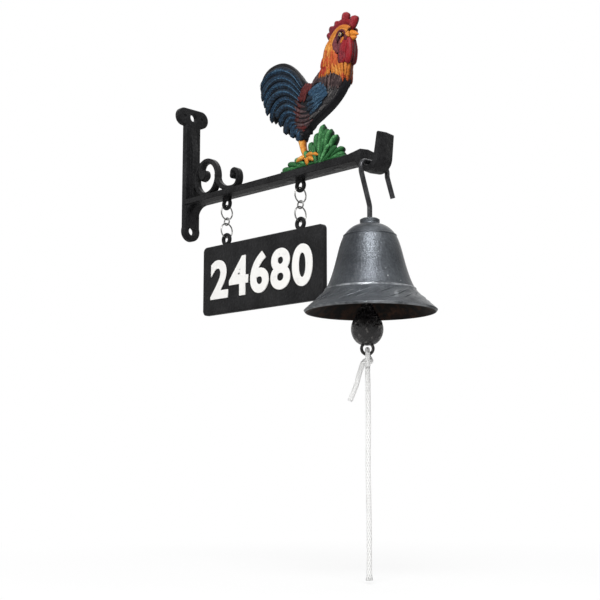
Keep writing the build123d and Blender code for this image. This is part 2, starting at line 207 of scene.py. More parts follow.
leafShape = [(0.0, 0.30), (0.12, 0.72), (0.45, 1.0), (0.78, 0.88), (0.93, 0.5), (1.0, 0.06)]
bladeShape = [(0.0, 0.55), (0.3, 1.0), (0.7, 0.82), (0.92, 0.4), (1.0, 0.06)]
lobeShape = [(0.0, 0.7), (0.4, 0.92), (0.75, 1.0), (0.88, 0.88), (0.96, 0.55), (1.0, 0.1)]
sickleShape = [(0.0, 0.4), (0.15, 0.75), (0.5, 1.0), (0.82, 0.98), (0.93, 0.8), (0.98, 0.45), (1.0, 0.1)]
roundShape = [(0.0, 0.7), (0.4, 0.92), (0.75, 1.0), (0.86, 0.95), (0.93, 0.78), (0.975, 0.5), (1.0, 0.16)]
evenShape = [(0.0, 1.0), (1.0, 1.0)]
frayedShape = [(0.0, 1.0), (0.965, 1.0), (1.0, 1.4)]


def openGroup():
    bm = bmesh.new()
    bm.loops.layers.uv.new("turn")
    bm.loops.layers.uv.new("run")
    return bm


def sweepStrand(bm, line, width, depth, outward, shape=leafShape, sides=10):
    turn = bm.loops.layers.uv["turn"]
    run = bm.loops.layers.uv["run"]
    gone = [0.0]
    for a, b in zip(line, line[1:]):
        gone.append(gone[-1] + (b - a).length)
    whole = gone[-1]
    seed = chance.random()
    places = {}
    rings = []
    for i, point in enumerate(line):
        before = line[max(i - 1, 0)]
        after = line[min(i + 1, len(line) - 1)]
        ahead = (after - before).normalized()
        across = ahead.cross(outward).normalized()
        up = across.cross(ahead)
        swell = along(shape, gone[i] / whole)
        x = across * (width * swell / 2)
        y = up * (depth * swell / 2)
        rows = [(x[axis], y[axis], ahead[axis], point[axis]) for axis in range(3)]
        matrix = Matrix(rows + [(0, 0, 0, 1)])
        ends = i in (0, len(line) - 1)
        ring = bmesh.ops.create_circle(bm, cap_ends=ends, segments=sides, radius=1.0, matrix=matrix)["verts"]
        for k, vert in enumerate(ring):
            places[vert] = (i, k)
        edges = {edge for vert in ring for edge in vert.link_edges}
        if rings:
            bmesh.ops.bridge_loops(bm, edges=list(rings[-1] | edges))
        rings.append(edges)
    faces = {face for vert in places for face in vert.link_faces}
    for face in faces:
        sideways = [places[loop.vert][1] for loop in face.loops]
        wraps = max(sideways) - min(sideways) > sides / 2 and len(face.loops) == 4
        for loop in face.loops:
            i, k = places[loop.vert]
            share = (k + sides if wraps and k < sides / 2 else k) / sides
            loop[turn].uv = (0.25 + share, gone[i] / 0.01)
            loop[run].uv = (gone[i] / whole, seed)
    return list(places)


def newPiece(name, bm, material, body, smooth=True, merge=0.0):
    if merge:
        bmesh.ops.remove_doubles(bm, verts=bm.verts, dist=merge)
    bmesh.ops.recalc_face_normals(bm, faces=bm.faces)
    mesh = bpy.data.meshes.new(name)
    bm.to_mesh(mesh)
    bm.free()
    mesh.materials.append(material)
    if smooth:
        mesh.shade_smooth()
    piece = bpy.data.objects.new(name, mesh)
    bpy.context.scene.collection.objects.link(piece)
    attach(piece, body)
    return piece


def roundedPlate(bm, outline, depth, rounding):  # closed outline filled, given a thickness and soft edges
    verts = [bm.verts.new(point) for point in outline]
    face = bm.faces.new(verts)
    bmesh.ops.recalc_face_normals(bm, faces=[face])
    made = bmesh.ops.extrude_face_region(bm, geom=[face])["geom"]
    moved = [v for v in made if isinstance(v, bmesh.types.BMVert)]
    bmesh.ops.translate(bm, verts=moved, vec=(0, depth, 0))
    caps = [face] + [f for f in made if isinstance(f, bmesh.types.BMFace)]
    rim = list({edge for cap in caps for edge in cap.edges})
    bmesh.ops.bevel(
        bm,
        geom=rim,
        offset=rounding,
        affect="EDGES",
        segments=3,
        profile=0.5,
        material=-1,
        clamp_overlap=True,
    )


# pull cord
cordSet = {
    "across": 4.0 * mm,
    "axis": (232.7, -6.0),
    "knotLow": -198.1,
    "slant": 0.71,
    "long": [(0, 0), (0.6, -40.0), (-0.4, -82.0), (0.5, -124.0), (0.0, -165.4)],
    "short": [(-3.2, 2.6), (-6.5, -6.0), (-9.0, -17.0), (-14.0, -28.0)],
    "white": tone(250, 250, 249),
    # darker tone painted into the grooves between the strands: painted shade
    "grooveShade": tone(214, 214, 212),
    "plaitRound": 50.26,
    "plaitLong": 14.0,
    "plaitDeep": 0.35 * mm,
}


def cordPoint(a, z):
    x, y = cordSet["axis"]
    return Vector((x + a * cordSet["slant"], y + a * cordSet["slant"], cordSet["knotLow"] + z)) * mm


def braidFinish():
    material, lead, shader = newFinish("braided_cord", Sheen_Weight=0.25, IOR=1.4, Specular_IOR_Level=0.25)
    around, gone = lead.chart("turn")
    left = (around * cordSet["plaitRound"] + gone * cordSet["plaitLong"]).sine()
    right = (around * cordSet["plaitRound"] - gone * cordSet["plaitLong"]).sine()
    plait = lead.sum("MAXIMUM", left, right)
    fuzz = lead.noise(2600.0, 2.0)
    # the grooves of the plait are painted darker: painted shade between the strands
    groove = plait.step(-0.2, 0.9)
    colour = lead.mix(groove * 0.75 + fuzz * 0.25, cordSet["grooveShade"], cordSet["white"])
    wearFinish(lead, shader, colour, 0.85 + fuzz * 0.1, plait * 0.7 + fuzz * 0.5, cordSet["plaitDeep"])
    return material


braidWhite = braidFinish()
cordPieces = {}
for name, node in (("long", "cord_long"), ("short", "cord_tail")):
    line = routeLine([cordPoint(a, z) for a, z in cordSet[name]], 14)
    bm = openGroup()
    ends = frayedShape if name == "long" else evenShape
    sweepStrand(bm, line, cordSet["across"], cordSet["across"], Vector((0.6, 1, 0.1)), ends, 16)
    piece = newPiece("pull_cord_" + name, bm, braidWhite, "clapper")
    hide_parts(node)
    cordPieces[name] = (piece, line)

knotSet = {
    "turn": math.radians(45),
    "route": [
        (0.4, -2.2, -1.0),
        (0.2, -3.0, 4.0),
        (0.0, -4.6, 8.6),
        (0.0, -1.6, 12.6),
        (0.0, 2.4, 12.2),
        (0.4, 4.2, 8.4),
        (2.6, 2.4, 4.6),
        (3.0, -2.2, 2.6),
        (-1.6, -3.0, 2.4),
        (-3.0, 1.2, 3.2),
        (0.8, 3.0, 4.4),
        (1.6, -0.6, 3.4),
        (-1.2, -2.6, 3.6),
        (-2.27, -2.27, 2.6),
    ],
}
knotFoot = Vector((*cordSet["axis"], cordSet["knotLow"])) * mm
turned = Matrix.Translation(knotFoot) @ Matrix.Rotation(knotSet["turn"], 4, "Z")
knotLine = routeLine([turned @ (Vector(spot) * mm) for spot in knotSet["route"]], 6)
bm = openGroup()
sweepStrand(bm, knotLine, cordSet["across"], cordSet["across"] * 0.94, Vector((0.7, 0.8, 0.1)), evenShape, 14)
knot = newPiece("pull_cord_knot", bm, braidWhite, "clapper")
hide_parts("cord_knot")
for name, pieces in (("long", [knot]), ("short", [])):
    piece, line = cordPieces[name]


# finishes of the castings and the steel
def castFinish(name, deep, worn, grain=650.0, shine=0.42, lumps=0.0003, gloss=0.06, rubbed=None):
    material, lead, shader = newFinish(name, Specular_IOR_Level=gloss)
    broad = lead.noise(38.0, 3.0)
    fine = lead.noise(grain, 4.0, 0.6)
    patch = lead.noise(140.0, 2.0)
    colour = lead.mix((broad * 0.6 + fine * 0.5).step(0.35, 0.8), deep, worn)
    roughness = shine + fine * 0.22 + (patch - 0.5) * 0.14
    more = {}
    if rubbed:  # bare bright spots where the casting is struck, also painted glints
        spots = (fine * 0.6 + lead.noise(210.0, 2.0) * 0.6).step(0.66, 0.76)
        colour = lead.mix(spots * 0.3, colour, rubbed)
        more["Metallic"] = spots * 0.5
    wearFinish(lead, shader, colour, roughness, fine * 0.7 + patch * 0.6, lumps, 1.1 * mm, **more)
    return material


bellPlace = {"centre": (0.2365, -0.006), "rim": -0.1564}


def bellFinish():
    bell = {
        "tall": 0.0757,
        "radius": 0.053,
        "middle": [
            (0.0, 0.97), (0.02, 0.955), (0.103, 0.81), (0.235, 0.65), (0.36, 0.565), (0.55, 0.485),
            (0.71, 0.425), (0.81, 0.365), (0.89, 0.24), (0.9, 0.0),
        ],
        "outside": tone(30, 32, 35),
        "outsideLight": tone(57, 60, 63),
        "inside": tone(12, 11, 10),
        "rust": tone(50, 32, 22),
        # bright tone for worn metal, also used as a painted highlight on the raised lines, lip and leaf
        # ridges
        "rubbed": tone(160, 163, 166),
        "chip": tone(170, 172, 174),
        "ring": 0.0178,
        "leafLow": (0.004, 0.006),
        "leafHigh": (0.0145, 0.0165),
        "rustLow": (0.004, 0.022),
    }
    material, lead, shader = newFinish("bell_grey", Metallic=0.78, Specular_IOR_Level=0.2)
    x, y, z = lead.axes(lead.spot())
    dx = x - bellPlace["centre"][0]
    dy = y - bellPlace["centre"][1]
    reach = lead.sum("SQRT", dx * dx + dy * dy)
    tall = z - bellPlace["rim"]
    wall = lead.make(
        "ShaderNodeValToRGB",
        {"stops": [(place, (r, r, r)) for place, r in bell["middle"]]},
        {0: tall / bell["tall"]},
    )
    wallReach = lead.make("ShaderNodeSeparateColor", inputs={0: wall}) * bell["radius"]
    within = (wallReach - reach).step(-0.0003, 0.0003)
    fine = lead.noise(520.0, 4.0, 0.6)
    broad = lead.noise(45.0, 3.0)
    angle = lead.sum("ARCTAN2", dy, dx)
    sweep = (angle * 7.0 + tall * 330.0).sine()
    vein = (angle * 14.0 - tall * 600.0 + (sweep - 0.5) * 1.2).sine()
    band = tall.step(*bell["leafLow"]) * (1 - tall.step(*bell["leafHigh"])) * (1 - within)
    outside = lead.mix((broad * 0.5 + fine * 0.5).step(0.3, 0.75), bell["outside"], bell["outsideLight"])
    low = 1 - tall.step(*bell["rustLow"])  # rust gathers towards the lip
    inside = lead.mix(lead.noise(150.0, 4.0).step(0.4, 0.75) * low, bell["inside"], bell["rust"])
    colour = lead.mix(within, outside, inside)
    roughness = 0.4 + fine * 0.1 + within * 0.3
    height = fine * 0.5 + vein * band * 0.3 + broad * 0.3
    scuff = lead.noise(330.0, 2.0).step(0.74, 0.78) * (1 - within)  # small bright chips
    colour = lead.mix(scuff * 0.7, colour, bell["chip"])
    ring = 1 - (tall - bell["ring"]).size().step(0.0004, 0.0012)  # raised lines are rubbed bright and carry a painted highlight
    lipWearAndHighlight = 1 - tall.step(0.001, 0.002)
    leafWearAndHighlight = (vein * 0.7 + (broad - 0.5) * 1.6).step(0.5, 0.9) * band * 0.5
    # ring, lip and leaf lines are lightened: partly rubbed wear, partly painted highlight
    rubbed = lead.sum("MAXIMUM", lead.sum("MAXIMUM", ring, lipWearAndHighlight), leafWearAndHighlight)
    rubbed = rubbed * (1 - within) * lead.noise(120.0, 4.0).step(0.3, 0.7)
    colour = lead.mix(rubbed * 0.45, colour, bell["rubbed"])
    wearFinish(lead, shader, colour, roughness, height, 0.0005, 0.8 * mm)
    return material


def steelFinish(name, base, light, roughness, metal):
    material, lead, shader = newFinish(name, Metallic=metal)
    fine = lead.noise(900.0, 3.0)
    broad = lead.noise(110.0, 2.0)
    colour = lead.mix((broad * 0.6 + fine * 0.4).step(0.3, 0.7), base, light)
    wearFinish(lead, shader, colour, roughness + fine * 0.16, fine, 0.00008)
    return material


blackIron = castFinish("black_cast_iron", tone(16, 16, 17), tone(40, 40, 41), 420.0, 0.22, 0.0009)
signIron = castFinish("black_sign_plate", tone(20, 20, 21), tone(40, 40, 41), 520.0, 0.28, 0.0009)
# the clapper's bright spots are worn bare metal, and their light colour also paints glints on the lumps
clapperIron = castFinish(
    "rough_black_clapper", tone(13, 12, 13), tone(46, 44, 44), 260.0, 0.14, 0.0026, 0.3, tone(176, 172, 168)
)
bellGrey = bellFinish()
rodSteel = steelFinish("grey_rod", tone(34, 34, 36), tone(66, 67, 69), 0.2, 0.7)
ringSteel = steelFinish("bright_rings", tone(96, 96, 95), tone(152, 152, 150), 0.2, 1.0)
screwBlack = steelFinish("black_screws", tone(30, 30, 31), tone(52, 52, 52), 0.4, 0.4)

dress = {
    "wall_bracket": blackIron,
    "sign": signIron,
    "clapper": clapperIron,
    "bell_dome": bellGrey,
    "bell_hook": rodSteel,
    "crown_washer": ringSteel,
    "clapper_link": ringSteel,
    "figure_screws": screwBlack,
}
for side in ("left", "right"):
    for part in ("upper_ring", "middle_link", "lower_ring"):
        dress[side + "_" + part] = ringSteel
for node, material in dress.items():
    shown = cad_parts[node]
    shown.data.materials.clear()
    shown.data.materials.append(material)
print("castings dressed")

# cast wreath of long leaves round the flare of the bell
wreathSet = {
    "leaves": 8,
    "long": [(0.0, 3.4), (10.0, 5.0), (20.0, 7.4), (30.0, 10.6), (40.0, 13.4), (52.0, 15.6)],
    "short": [(27.0, 5.4), (33.0, 7.2), (40.0, 9.4), (50.0, 11.4)],
    "low": [(3.0, 9.4), (10.0, 11.2), (18.0, 13.4), (28.0, 15.4)],
    "across": {"long": 2.0 * mm, "short": 1.6 * mm, "low": 1.6 * mm},
    "thick": 1.5 * mm,
    "sunk": 0.15 * mm,
    "startOut": 0.1,
    "lean": 0.7,
}
wreathShape = [(0.0, 0.12), (0.15, 0.55), (0.5, 1.0), (0.8, 0.7), (1.0, 0.1)]


def wreath():
    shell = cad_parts["bell_dome"]
    wall = BVHTree.FromObject(shell, bpy.context.evaluated_depsgraph_get())
    bm = openGroup()
    x, y = bellPlace["centre"]
    for i in range(wreathSet["leaves"]):
        for kind, across in wreathSet["across"].items():
            line = []
            for turn, tall in wreathSet[kind]:
                angle = math.radians(turn) + 2 * math.pi * i / wreathSet["leaves"]
                inward = Vector((-math.cos(angle), -math.sin(angle), 0))
                start = Vector((x, y, bellPlace["rim"] + tall * mm)) - inward * wreathSet["startOut"]
                spot, facing = wall.ray_cast(start, inward)[:2]
                line.append(spot - facing * wreathSet["sunk"])
            middle = sum(line, Vector()) / len(line)
            outward = Vector((middle.x - x, middle.y - y, 0)).normalized()
            outward.z = wreathSet["lean"]
            sweepStrand(bm, routeLine(line, 4), across, wreathSet["thick"], outward, wreathShape, 8)
    return newPiece("bell_wreath", bm, bellGrey, "bell")


bellWreath = wreath()
print("bell wreath made")


# raised house number on the sign
numberSet = {
    "figures": "24680",
    "high": 37.0 * mm,
    "wide": 132.0 * mm,
    "thick": 0.9 * mm,
    "bold": 0.022,
    "edge": 0.012,
    "spread": 1.12,
    "centre": (103.0 * mm, -2.7 * mm, -107.3 * mm),
    "white": tone(228, 227, 224),
    "rubbed": tone(184, 184, 181),
}


def numberFinish():
    material, lead, shader = newFinish("white_raised_paint")
    chalk = lead.noise(420.0, 4.0, 0.65)
    blot = lead.noise(90.0, 2.0)
    colour = lead.mix((chalk * 0.6 + blot * 0.4).step(0.18, 0.46), numberSet["rubbed"], numberSet["white"])
    wearFinish(lead, shader, colour, 0.5 + chalk * 0.2, chalk, 0.0002)
    return material


def raisedNumber():
    words = bpy.data.curves.new("number", "FONT")
    words.body = numberSet["figures"]
    words.align_x = "CENTER"
    words.offset = numberSet["bold"]
    words.extrude = 0.5
    words.bevel_depth = numberSet["edge"]
    words.bevel_resolution = 1
    words.space_character = numberSet["spread"]
    carrier = bpy.data.objects.new("number", words)
    mesh = bpy.data.meshes.new_from_object(carrier)
    bm = bmesh.new()
    bm.from_mesh(mesh)
    bpy.data.objects.remove(carrier)
    bpy.data.meshes.remove(mesh)
    low = Vector(min(v.co[i] for v in bm.verts) for i in range(3))
    high = Vector(max(v.co[i] for v in bm.verts) for i in range(3))
    foot = Vector(((low.x + high.x) / 2, (low.y + high.y) / 2, low.z))
    bmesh.ops.translate(bm, verts=bm.verts, vec=-foot)
    span = high - low
    wanted = (numberSet["wide"], numberSet["high"], numberSet["thick"])
    bmesh.ops.scale(bm, verts=bm.verts, vec=[size / span[axis] for axis, size in enumerate(wanted)])
    bmesh.ops.rotate(bm, verts=bm.verts, cent=(0, 0, 0), matrix=Matrix.Rotation(math.pi / 2, 3, "X"))
    bmesh.ops.translate(bm, verts=bm.verts, vec=numberSet["centre"])
    return newPiece("sign_number", bm, numberFinish(), "sign", False, 1e-6)


raisedNumber()
print("sign number made")


# painted cockerel; u runs along the arm and v up from it, in mm from the foot
figureSet = {
    "place": (0.163, 0.0, -0.024077),
    "tilt": math.radians(-0.5355),
    "tailCore": [
        (3, 73), (-5, 78.5), (-12, 88.5), (-20, 96.5), (-29, 102), (-40, 103), (-50, 101), (-57, 95),
        (-60.5, 86), (-58, 80), (-53, 70), (-46, 61), (-38.5, 55), (-29.5, 49), (-20.5, 39), (-11, 29),
        (2, 30),
    ],
    "bodyCore": [
        (-11, 38), (-9, 55), (-4, 68), (1, 74.5), (8, 73), (13.5, 75), (17.5, 81), (21.3, 90), (25, 98.5),
        (27.5, 106), (32, 112.5), (40, 115.5), (48, 114), (52, 109), (51.5, 100), (48.5, 88), (47, 76),
        (45.5, 66), (42, 59), (35.6, 52.8), (26.6, 46.6), (14.6, 41), (4, 36.4), (-3.6, 30.6), (-7, 25),
    ],
    "thick": {"tail": (6.6, 1.9), "body": (9.4, 2.7)},
}
figurePlace = Matrix.Translation(figureSet["place"]) @ Matrix.Rotation(figureSet["tilt"], 4, "Y")


def onFigure(u, v, y=0.0):
    return figurePlace @ (Vector((u, y, v)) * mm)


def plume(bm, points, width, depth, lift, side, shape=leafShape, sides=8, steps=4):
    low, high = lift
    count = len(points) - 1
    spots = [onFigure(u, v, side * (low + (high - low) * i / count)) for i, (u, v) in enumerate(points)]
    facing = Vector((0, side or -1, 0))
    sweepStrand(bm, routeLine(spots, steps), width * mm, depth * mm, facing, shape, sides)


def pointOn(line, t):  # point at share t of a short line of (u, v)
    last = len(line) - 1
    return tuple(along([(i / last, spot[axis]) for i, spot in enumerate(line)], t) for axis in (0, 1))


def strokesBetween(roots, tips, count, bend=0.0, loose=0.0):
    strokes = []
    for i in range(count):
        t = (i + 0.5) / count
        a = Vector(pointOn(roots, t))
        b = Vector(pointOn(tips, t)) + Vector((chance.uniform(-loose, loose), chance.uniform(-loose, loose)))
        aside = Vector((b.y - a.y, a.x - b.x)).normalized() * bend
        strokes.append([tuple(a), tuple(a.lerp(b, 0.5) + aside), tuple(b)])
    return strokes


def plumage(name, groups, finish, sides=8):
    bm = openGroup()
    for group in groups:
        for side in group.get("faces", (-1, 1)):
            for i, points in enumerate(group["strokes"]):
                low, high = group["lift"]
                step = group.get("step", 0.0) * (i % 2)
                shape = group.get("shape", leafShape)
                steps = group.get("steps", 4)
                lift = (low + step, high + step)
                plume(bm, points, group["width"], group["depth"], lift, side, shape, sides, steps)
    return newPiece("cockerel_" + name, bm, finish, "bracket")


through = {"lift": (0, 0), "faces": (0,)}  # one strand that shows on both faces
rounded = {"shape": roundShape, "steps": 9}


def brushFinish(name, dark, middle, light, barbs=0.0, streak=1.0, shine=0.42, spots=(), groove=0.15):
    material, lead, shader = newFinish(name, Specular_IOR_Level=0.14)
    around, gone = lead.chart("turn")
    seed = lead.chart("run")[1]
    ridge = (around * math.tau).sine()
    across = (around * math.tau + math.pi / 2).sine()
    rough = lead.noise(700.0, 4.0, 0.65)
    wide = lead.noise(130.0, 2.0)
    brush = ridge + (rough - 0.5) * 1.1 * streak + (wide - 0.5) * 0.7
    height = rough * 0.6
    if barbs:  # fine painted barbs that slant back from the quill
        lines = (gone * barbs + across.size() * 4.0 + (wide - 0.5) * 9.0).sine()
        brush = brush + lines * 0.16
        height = height + lines * 0.25
    base = middle
    for u, v, reach, paint in spots:  # strokes of another colour round a place on the figure
        here = onFigure(u, v)
        x, z = lead.axes(lead.spot())[::2]
        away = lead.sum("SQRT", (x - here.x) * (x - here.x) + (z - here.z) * (z - here.z))
        dab = 1 - (away / (reach * mm) + (wide - 0.5) * 1.4 + (seed - 0.5) * 0.5).step(0.55, 1.0)
        base = lead.mix(dab, base, paint)
    colour = lead.mix(brush.step(groove - 0.35, groove + 0.45), dark, base)
    colour = lead.mix((brush + (seed - 0.5) * 0.5).step(0.8, 1.5), colour, light)
    wearFinish(lead, shader, colour, shine + rough * 0.2, height, 0.0003)
    return material


coreDark = castFinish("figure_black", tone(18, 18, 20), tone(34, 34, 37), 500.0, 0.36)
for group in ("tail", "body"):
    deep, soft = figureSet["thick"][group]
    bm = bmesh.new()
    rim = routeLine([onFigure(u, v, -deep / 2) for u, v in figureSet[group + "Core"]], 3)
    roundedPlate(bm, rim, deep * mm, soft * mm)
    piece = newPiece("cockerel_" + group + "_core", bm, coreDark, "bracket")
    if group == "body":
        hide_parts("rooster")

tailSet = {
    "strokes": [
        [(-4, 71), (-11, 81.5), (-20, 90), (-33, 95.5), (-47, 94), (-56, 88), (-58.6, 81.2)],
        [(-5, 67.5), (-13, 77.5), (-23, 85), (-35, 89), (-47, 86.5), (-54, 80.5), (-57, 72.6)],
        [(-6, 64), (-14, 73), (-24, 79.5), (-36, 82), (-46, 78.5), (-51.5, 72.5), (-54.4, 65.8)],
        [(-7, 60.5), (-15, 68), (-25, 73.5), (-35.5, 74.5), (-44, 70.5), (-48.8, 64.5), (-50.4, 57.6)],
        [(-9, 56.5), (-16, 62.5), (-25, 67), (-34, 66.5), (-40.5, 62), (-43.6, 56), (-44.8, 49.6)],
        [(-10, 52.5), (-16.5, 57.5), (-24, 60.5), (-31, 59.2), (-36.5, 55.4), (-38.6, 52.8)],
        [(-10.5, 48.5), (-16.5, 52.4), (-22.5, 53.8), (-28, 52.4), (-32, 48.4), (-34, 43.6)],
        [(-11, 45), (-16, 47.6), (-20.5, 47.4), (-23.6, 44.2), (-25.4, 39.8), (-26, 34.6)],
        [(-11, 41.5), (-15, 43), (-18, 42.4), (-20, 39.8), (-21, 37.6)],
        [(-10, 38.5), (-13, 39), (-15.2, 37.5), (-16.8, 34), (-17.2, 29.6)],
        [(-8.5, 35.5), (-10.5, 35), (-12.2, 33.2), (-13, 31)],
        [(-6, 33), (-7.5, 31.5), (-9.2, 28.8), (-10, 24.8)],
    ],
    "width": 8.4,
    "depth": 5.2,
    "lift": (3.4, 2.4),
    "step": 0.5,
    "shape": sickleShape,
}
tailBlue = brushFinish(
    "tail_blue", tone(8, 11, 15), tone(28, 51, 73), tone(67, 100, 124), 16.0, 1.9, 0.44, (), 0.45
)
tailDark = brushFinish(
    "tail_dark", tone(7, 9, 12), tone(15, 26, 37), tone(33, 54, 73), 16.0, 1.9, 0.44, (), 0.5
)


def quillLines(strokes, asides, slant=0.7):  # raised lines that fan out along a feather, short of its tip
    lines = []
    for points in strokes:
        last = len(points) - 1
        for aside in asides:
            shift = slant * aside / last
            fan = [(u - shift * i, v + shift * i) for i, (u, v) in enumerate(points)]
            lines.append(fan[:-1] + [((fan[-1][0] + fan[-2][0]) / 2, (fan[-1][1] + fan[-2][1]) / 2)])
    return lines


tailQuills = {
    "strokes": quillLines(tailSet["strokes"], (-2.4, -0.1, 2.2)),
    "width": 1.4,
    "depth": 2.6,
    "lift": (5.3, 4.6),
    "step": 0.2,
    "shape": bladeShape,
}
plumage("tail", [tailSet], tailDark, 10)
plumage("tail_quills", [tailQuills], tailBlue, 6)

wingSet = {
    "flight": [
        [(22, 52.5), (13, 48), (4.5, 45.4)],
        [(23.5, 55), (12, 51.2), (1.6, 49.6)],
        [(24, 58), (12, 55.4), (0.2, 54)],
        [(24, 61), (13, 59.6), (1, 59)],
    ],
    "cover": strokesBetween([(13, 69), (22, 65), (25.5, 57)], [(3.5, 63.4), (9, 56.5), (13.5, 48)], 5, 0.8),
    "shoulder": strokesBetween(
        [(19, 70), (25.5, 65.5), (27.5, 58)], [(9.5, 66.5), (16, 60.5), (20, 52)], 4, 0.8
    ),
}
wingBlue = brushFinish(
    "wing_blue", tone(9, 12, 17), tone(31, 56, 77), tone(69, 96, 116), 14.0, 1.9, 0.42, (), 0.5
)
coverGroup = {"strokes": wingSet["cover"], "width": 6.2, "depth": 3.4, "lift": (5.5, 5.5), "step": 0.2}
shoulderGroup = {"strokes": wingSet["shoulder"], "width": 6.6, "depth": 3.4, "lift": (5.5, 6.0)}
flightGroup = {"strokes": wingSet["flight"], "width": 5.8, "depth": 3.8, "lift": (5.0, 4.9), "step": 0.3}
wingQuills = {
    "strokes": quillLines(wingSet["flight"], (-1.5, 0.2, 1.9)),
    "width": 1.6,
    "depth": 2.0,
    "lift": (6.6, 6.4),
    "shape": bladeShape,
}
plumage("wing", [{**group, "shape": lobeShape} for group in (coverGroup, shoulderGroup)], wingBlue)
plumage("wing_flight", [{**flightGroup, "shape": sickleShape}], tailDark)
plumage("wing_quills", [wingQuills], wingBlue, 6)

saddleSet = {
    "red": strokesBetween([(-4, 71), (1, 74.4), (9, 72.6)], [(-6, 63), (-1, 62), (5, 65.5)], 7, 0.6, 0.8),
    "redShort": strokesBetween([(-6, 67), (3, 66)], [(-10, 60.5), (-1, 57)], 4, 0.5, 0.8),
    "nape": strokesBetween([(12, 76), (19, 82)], [(7, 69.5), (16, 71)], 5, 0.5, 0.6),
    "bars": [
        [(-13.5, 63.5), (-9.5, 57.5), (-4.5, 54.4), (0.5, 53.4)],
        [(-15.5, 59.5), (-11.5, 53.5), (-5, 50), (1.5, 49)],
        [(-16.5, 55), (-12.5, 49.5), (-5, 45.8), (3, 45), (11.4, 46.4)],
        [(-17, 50.5), (-13, 45.2), (-5.5, 41.6), (4.5, 41.4), (12.4, 44.4)],
        [(-17, 46), (-13, 41.4), (-6, 38), (2.5, 37.8), (9.6, 41)],
        [(-16, 42), (-12, 37.8), (-6, 35), (0, 35), (5, 37.6)],
        [(-14, 38.4), (-10, 34.8), (-6, 32.6), (-1, 33)],
        [(-12, 34.6), (-8.5, 31), (-4, 29.6)],
    ],
}
saddleRed = brushFinish(
    "saddle_red", tone(18, 9, 10), tone(64, 18, 19), tone(93, 41, 38), 9.0, 1.6, 0.44, (), 0.42
)
barBrown = brushFinish(
    "bar_brown",
    tone(14, 12, 14),
    tone(48, 35, 37),
    tone(86, 70, 71),
    12.0,
    1.5,
    0.45,
    [
        (10, 43, 7, tone(72, 25, 24)),
        (-10, 50, 7, tone(68, 30, 29)),
        (-4, 36, 5, tone(72, 25, 24)),
        (-8, 32, 4, tone(32, 32, 36)),
    ],
    0.3,
)
plumage(
    "saddle",
    [
        {"strokes": saddleSet["red"], "width": 3.6, "depth": 3.0, "lift": (4.6, 4.8), "step": 0.3},
        {"strokes": saddleSet["redShort"], "width": 3.4, "depth": 2.8, "lift": (4.6, 4.6), "step": 0.3},
    ],
    saddleRed,
)
barGroup = {"strokes": saddleSet["bars"], "width": 4.2, "depth": 3.4, "lift": (3.9, 4.4), "shape": bladeShape}
napeGroup = {"strokes": saddleSet["nape"], "width": 3.4, "depth": 2.8, "lift": (4.4, 4.6), "step": 0.3}
plumage("flank_bars", [barGroup, napeGroup], barBrown)

breastSet = {
    "long": [
        [(42, 64), (36.5, 58), (27, 51.6), (15, 45.6), (3, 39.6)],
        [(39.5, 63.5), (33, 57.5), (25.5, 52.5), (18.5, 48.5)],
        [(36, 61.5), (30, 57), (25, 52.6)],
    ],
    "fringe": strokesBetween(
        [(17, 76), (24, 76.5), (34, 77), (41, 73), (46, 68)],
        [(17.5, 69), (21.1, 65.7), (27, 61.5), (32.5, 58.8), (37, 58.6), (40.5, 61.5)],
        17, 0.8, 0.7,
    ),
    "rows": [
        strokesBetween([(29, 67), (43, 66.5)], [(24, 60.5), (38.5, 59)], 6, 0.4, 0.7),
        strokesBetween([(26.5, 61.5), (39.5, 61)], [(20.5, 55), (33, 53.4)], 6, 0.4, 0.7),
        strokesBetween([(22.5, 56.5), (34, 55.5)], [(15.5, 50), (26.5, 49)], 5, 0.4, 0.7),
        strokesBetween([(17.5, 51.5), (27, 50.5)], [(9.5, 45), (19, 45)], 5, 0.4, 0.7),
        strokesBetween([(11.5, 46.5), (19.5, 46.4)], [(3.5, 40.4), (10.5, 41.4)], 4, 0.4, 0.7),
    ],
}
breastGrey = brushFinish(
    "breast_grey", tone(15, 15, 16), tone(44, 43, 44), tone(95, 92, 91), 0.0, 1.6, 0.44, (), 0.3
)
fringeGrey = brushFinish(
    "fringe_grey", tone(13, 10, 11), tone(47, 35, 36), tone(110, 90, 87), 0.0, 1.6, 0.44, (), 0.45
)
breastGroup = {
    "strokes": breastSet["long"],
    "width": 6.0,
    "depth": 3.4,
    "lift": (3.7, 4.0),
    "shape": bladeShape,
}
fringeGroup = {"strokes": breastSet["fringe"], "width": 3.0, "depth": 3.4, "lift": (4.6, 4.4), "step": 0.5}
rowGroups = [
    {"strokes": row, "width": 2.6, "depth": 2.0, "lift": (4.5, 5.2), "step": 0.2} for row in breastSet["rows"]
]
plumage("breast", [breastGroup] + rowGroups, breastGrey)
plumage("fringe", [fringeGroup], fringeGrey)

